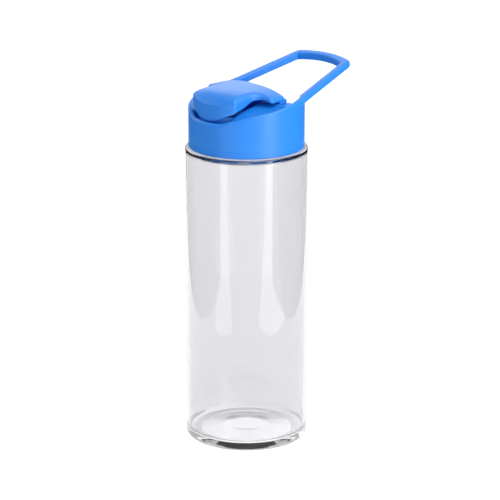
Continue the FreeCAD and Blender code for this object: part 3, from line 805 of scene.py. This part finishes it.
# The spout's wall as one closed section, a radius and a height at each corner with its round, turned about
# the spout's own line: a bead below the deck, a flange above it and a drinking lip at the top.
def makeSpout():
    s = spout
    under, above = cap["deckBottom"] - s["snug"], cap["deckTop"] + s["snug"]
    foot = cap["deckBottom"] - s["bead"]
    corners = [
        (s["bore"], foot, 0.4),
        (s["hole"] + 0.3, foot, 0.5),
        (s["hole"] + 1.2, under, 0.4),
        (s["hole"], under, 0),
        (s["hole"], above, 0),
        (s["hole"] + s["flange"], above, 0.3),
        (s["hole"] + s["flange"], cap["deckTop"] + 1.2, 0.5),
        (s["hole"] + 0.9, cap["deckTop"] + 2.0, 1.2),
        (s["hole"] - 0.6, s["top"] - 2.4, 1.5),
        (s["hole"] - 0.1, s["top"] - 1.2, 0.6),
        (s["hole"] - 0.5, s["top"], 0.6),
        (s["bore"], s["top"], 0.6),
    ]
    grid = turnedGrid(roundedPath(corners, 0.7, 6, closed=True), 96, s["front"])
    return stand(gridSkin("spout", grid, wrapRows=True), "cap", "spout_blue", blueSilicone, "drinking_spout")


# The plug's section, turned about the spout's line: a dome in the bore and a flange that takes the post.
def makePlug():
    p, s = plug, spout
    lip = s["top"] + p["gap"]
    seat = p["top"] - p["seat"] - s["snug"]
    socket, socketTop = p["post"] + s["snug"], seat - p["seat"]
    corners = [
        (poleRadius, s["top"] - 1, 0),
        (s["bore"] - 1.2, s["top"] - 1, 0.5),
        (s["bore"] - 0.4, lip, 0.2),
        (p["radius"], lip, 0.3),
        (p["radius"], seat, 0.4),
        (socket, seat, 0),
        (socket, socketTop, 0),
        (poleRadius, socketTop, 0),
    ]
    piece = gridSkin("plug", turnedGrid(roundedPath(corners, 0.6, 5), 96, s["front"]))
    return stand(piece, "cover", "spout_blue", blueSilicone, "spout_plug")


# A mushroom turned about its upright line: the head hangs under the deck and the bead holds it above.
def makeValve():
    v = valve
    head = cap["deckBottom"] - 1
    under, above = cap["deckBottom"] - v["snug"], cap["deckTop"] + v["snug"]
    beadTop = cap["deckTop"] + 1.6
    corners = [
        (poleRadius, head, 0),
        (1.0, head, 0.3),
        (v["radius"], head + 0.4, 0.2),
        (v["radius"], under, 0.2),
        (v["stem"], under, 0),
        (v["stem"], above, 0),
        (1.5, above, 0.3),
        (0.4, beadTop, 0.3),
        (poleRadius, beadTop, 0),
    ]
    piece = gridSkin("air_valve", turnedGrid(roundedPath(corners, 0.5, 5), 64, v["front"]))
    return stand(piece, "cap", "silicone", silicone, "vent_valve")


# A flat ring with rounded edges between the neck's lip and the deck.
def makeGasket():
    inner, outer = bottle["neckBore"] + 0.3, bottle["neckRadius"] - 0.2
    low, high = bottle["neckTop"] + 0.1, cap["deckBottom"] - 0.1
    corners = [(inner, low), (outer, low), (outer, high), (inner, high)]
    grid = turnedGrid(softPath(corners, [0.25] * 4, 0.8, 5, closed=True), 192)
    return stand(gridSkin("gasket", grid, wrapRows=True), "lift", "silicone", silicone, "neck_gasket")


# A pin is a profile of radius and length turned about the hinge line, with chamfered ends.
def makePins():
    p = pinSize
    corners = [
        (poleRadius / 2, 0, 0),
        (p["radius"], 0, p["chamfer"]),
        (p["radius"], p["length"], p["chamfer"]),
        (poleRadius / 2, p["length"], 0),
    ]
    profile = roundedPath(corners, 0.8, 4)
    angle = np.arange(p["columns"]) / p["columns"] * 2 * np.pi
    for side, start in (("left", -p["outer"]), ("right", p["outer"] - p["length"])):
        x = np.broadcast_to(start + profile[:, 1:], (len(profile), p["columns"]))
        y = hinge["back"] + profile[:, :1] * np.cos(angle)
        z = hinge["height"] + profile[:, :1] * np.sin(angle)
        pin = gridSkin(f"pin_{side}", np.stack([x, y, z], -1))
        stand(pin, "cap", "pin", wire, f"hinge_pin_{side}")


makeSpout()
makePlug()
makeValve()
makeGasket()
makePins()
print("small parts made")

studio = {
    "azimuth": 46.0,
    "elevation": 16.79,
    "distance": 1.633,
    "targetHeight": 0.1163,
    "lens": 194.9,
    "sensor": 36.0,
    "shiftX": 0.0070,
    "worldLight": 0.5,
    "lightHeight": 0.12,
    "panelLift": 0.004,
    "flagSide": 0.27,
    "flagNear": -0.25,
    "flagFar": 1.2,
    "flagHeight": 0.2,
    "flagDepth": 0.5,
    "flagLift": 0.001,
    "floorHalf": 6.0,
    "floorColour": (0.92, 0.92, 0.92, 1),
}
skyPanel = {"azimuth": 110, "elevation": 66, "spreadDegrees": 50, "power": 1.9}
# azimuth, elevation, distance, width, height and power
softboxes = {
    "right strip": (93, 14, 0.8, 0.30, 0.6, 3),
    "left fill": (-70, 25, 1.0, 0.5, 0.5, 1.2),
    "back panel": (226, 24, 1.3, 1.6, 0.6, 4.2),
}
# azimuth, near end, far end, width and power
floorPanels = {
    "right floor panel": (93, 0.24, 1.0, 0.24, 0.55),
    "left floor panel": (4, 0.24, 0.8, 0.15, 0.2),
}


# A unit vector: azimuth turns from straight ahead of the nose towards +X, and elevation lifts it.
def direction(azimuth, elevation):
    a, e = math.radians(azimuth), math.radians(elevation)
    return np.array([math.sin(a) * math.cos(e), -math.cos(a) * math.cos(e), math.sin(e)])


# Puts a camera or a light at a place and points it at the target.
def aim(thing, place, target):
    thing.location = Vector(place)
    thing.rotation_euler = (Vector(target) - Vector(place)).to_track_quat("-Z", "Y").to_euler()
    bpy.context.scene.collection.objects.link(thing)


def makeCamera():
    s = studio
    data = bpy.data.cameras.new("camera")
    data.lens, data.sensor_width, data.shift_x = s["lens"], s["sensor"], s["shiftX"]
    data.clip_end = 20
    data.dof.use_dof = False
    target = np.array([0, 0, s["targetHeight"]])
    camera = bpy.data.objects.new("camera", data)
    aim(camera, target + s["distance"] * direction(s["azimuth"], s["elevation"]), target)
    bpy.context.scene.camera = camera


def makeSoftbox(name, azimuth, elevation, distance, width, height, power):
    data = bpy.data.lights.new(name, "AREA")
    data.shape = "RECTANGLE"
    data.size, data.size_y, data.energy = width, height, power
    target = np.array([0, 0, studio["lightHeight"]])
    aim(bpy.data.objects.new(name, data), target + distance * direction(azimuth, elevation), target)


# A panel lying on the floor, out of view, that the upright walls mirror as a bright band.
def makeFloorPanel(name, azimuth, near, far, width, power):
    data = bpy.data.lights.new(name, "AREA")
    data.shape = "RECTANGLE"
    data.size, data.size_y, data.energy = far - near, width, power
    away = direction(azimuth, 0)
    panel = bpy.data.objects.new(name, data)
    panel.location = tuple(away * (near + far) / 2 + np.array([0, 0, studio["panelLift"]]))
    panel.rotation_euler = (math.pi, 0, math.atan2(away[1], away[0]))
    bpy.context.scene.collection.objects.link(panel)


# A broad sky panel: the same light all over the floor, from behind and above.
def makeSky(name, azimuth, elevation, spreadDegrees, power):
    data = bpy.data.lights.new(name, "SUN")
    data.angle, data.energy = math.radians(spreadDegrees), power
    aim(bpy.data.objects.new(name, data), direction(azimuth, elevation), (0, 0, 0))


# Dark cards stand and lie on both sides, out of view, so that the clear walls show dark edges.
def makeFlags():
    s = studio
    material, nodes, links, shader = newMaterial("black card")
    shader.inputs["Base Color"].default_value = (0.02, 0.02, 0.02, 1)
    shader.inputs["Roughness"].default_value = 1.0
    look = math.radians(s["azimuth"])
    ahead = np.array([-math.sin(look), math.cos(look), 0])
    aside = np.array([math.cos(look), math.sin(look), 0])
    up = np.array([0, 0, 1])
    for name, sign in (("flag_right", 1), ("flag_left", -1)):
        near = aside * sign * s["flagSide"]
        foot = [near + s["flagNear"] * ahead, near + s["flagFar"] * ahead]
        top = [p + s["flagHeight"] * up for p in foot]
        out = [p + s["flagDepth"] * sign * aside for p in foot]
        mesh = bpy.data.meshes.new(name)
        places = [tuple(p + s["flagLift"] * up) for p in foot + top + out]
        mesh.from_pydata(places, [], [(0, 1, 3, 2), (0, 1, 5, 4)])
        mesh.materials.append(material)
        flag = bpy.data.objects.new(name, mesh)
        bpy.context.scene.collection.objects.link(flag)
        flag.visible_camera = flag.visible_diffuse = flag.visible_shadow = False
        flag.visible_transmission = False


def makeFloor():
    mesh = bpy.data.meshes.new("floor")
    half = studio["floorHalf"]
    corners = [(-half, -half, 0), (half, -half, 0), (half, half, 0), (-half, half, 0)]
    mesh.from_pydata(corners, [], [(0, 1, 2, 3)])
    floor = bpy.data.objects.new("floor", mesh)
    bpy.context.scene.collection.objects.link(floor)
    material, nodes, links, shader = newMaterial("pale floor")
    shader.inputs["Base Color"].default_value = studio["floorColour"]
    shader.inputs["Roughness"].default_value = 0.9
    floor.data.materials.append(material)


def makeWorld():
    world = bpy.data.worlds.new("studio")
    world.use_nodes = True
    background = world.node_tree.nodes["Background"]
    background.inputs["Color"].default_value = (1, 1, 1, 1)
    background.inputs["Strength"].default_value = studio["worldLight"]
    bpy.context.scene.world = world


makeCamera()
makeFloor()
makeWorld()
makeFlags()
makeSky("sky panel", **skyPanel)
for boxName, boxSettings in softboxes.items():
    makeSoftbox(boxName, *boxSettings)
for panelName, panelSettings in floorPanels.items():
    makeFloorPanel(panelName, *panelSettings)
bpy.context.scene.view_settings.view_transform = "Standard"
print("studio made")

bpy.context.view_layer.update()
